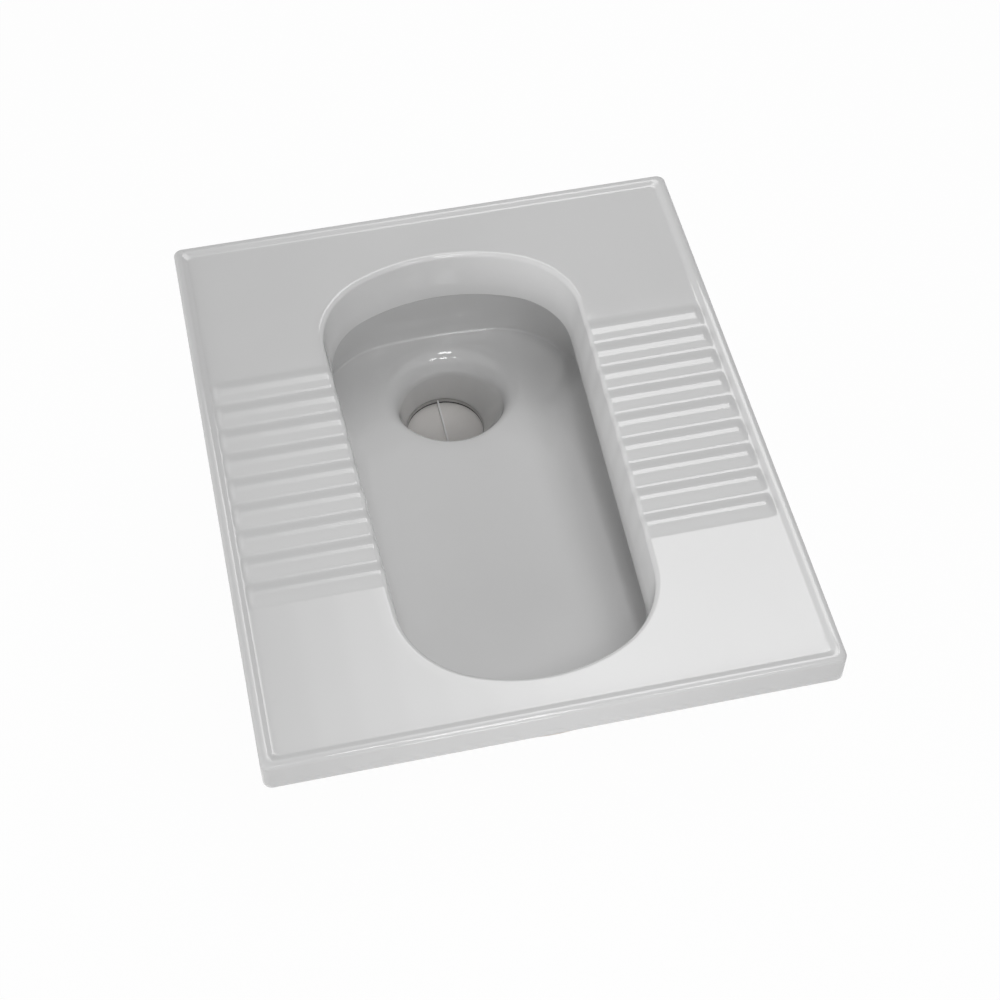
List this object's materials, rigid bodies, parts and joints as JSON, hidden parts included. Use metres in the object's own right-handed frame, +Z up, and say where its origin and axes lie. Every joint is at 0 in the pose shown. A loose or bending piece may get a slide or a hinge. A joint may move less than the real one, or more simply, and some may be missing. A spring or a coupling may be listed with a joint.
{
  "type": "squat toilet pan",
  "caption": "Glazed squat toilet pan with ribbed foot treads, an under-cut flushing rim, a rear outlet well and a spring-closed two-leaf odour flap in its outlet.",
  "frame": {"origin": "under the centre of the pan, level with the lower end of the outlet seal", "axes": "+Z up, +Y to the rear, where the outlet and the flush inlet are, +X to the right as seen by someone behind the front edge"},
  "size_m": [0.5, 0.6, 0.2965],
  "materials": {
    "glazed_china": "glossy white vitreous china glaze",
    "trap_plastic": "moulded grey ABS, satin",
    "flap_plastic": "moulded warm grey ABS, satin",
    "spacer_plastic": "white acetal",
    "seal_rubber": "moulded black rubber, matt",
    "bright_steel": "stainless steel, bright drawn"
  },
  "bodies": {
    "pan_and_trap": {"pan": "glazed_china", "inlet_seal": "seal_rubber", "trap_body": "trap_plastic", "trap_o_rings": "seal_rubber", "seat_gasket": "seal_rubber", "bridge_bar": "spacer_plastic", "flap_pin": "bright_steel", "pin_spacers": "spacer_plastic", "outlet_seal": "seal_rubber", "clamp_band": "bright_steel", "clamp_housing": "bright_steel", "clamp_screw": "bright_steel"},
    "left_leaf": {"left_flap": "flap_plastic", "left_flap_spring": "bright_steel"},
    "right_leaf": {"right_flap": "flap_plastic", "right_flap_spring": "bright_steel"}
  },
  "joints": [
    {"name": "left_leaf_hinge", "type": "hinge", "parent": "pan_and_trap", "child": "left_leaf", "pos_m": [0, 0.207, 0.0513], "axis": [0, -1, 0], "range_deg": [0, 80], "stiffness_Nm_per_rad": 0.004, "springref_deg": -85.94},
    {"name": "right_leaf_hinge", "type": "hinge", "parent": "pan_and_trap", "child": "right_leaf", "pos_m": [0, 0.207, 0.0513], "axis": [0, 1, 0], "range_deg": [0, 80], "stiffness_Nm_per_rad": 0.004, "springref_deg": -85.94}
  ]
}
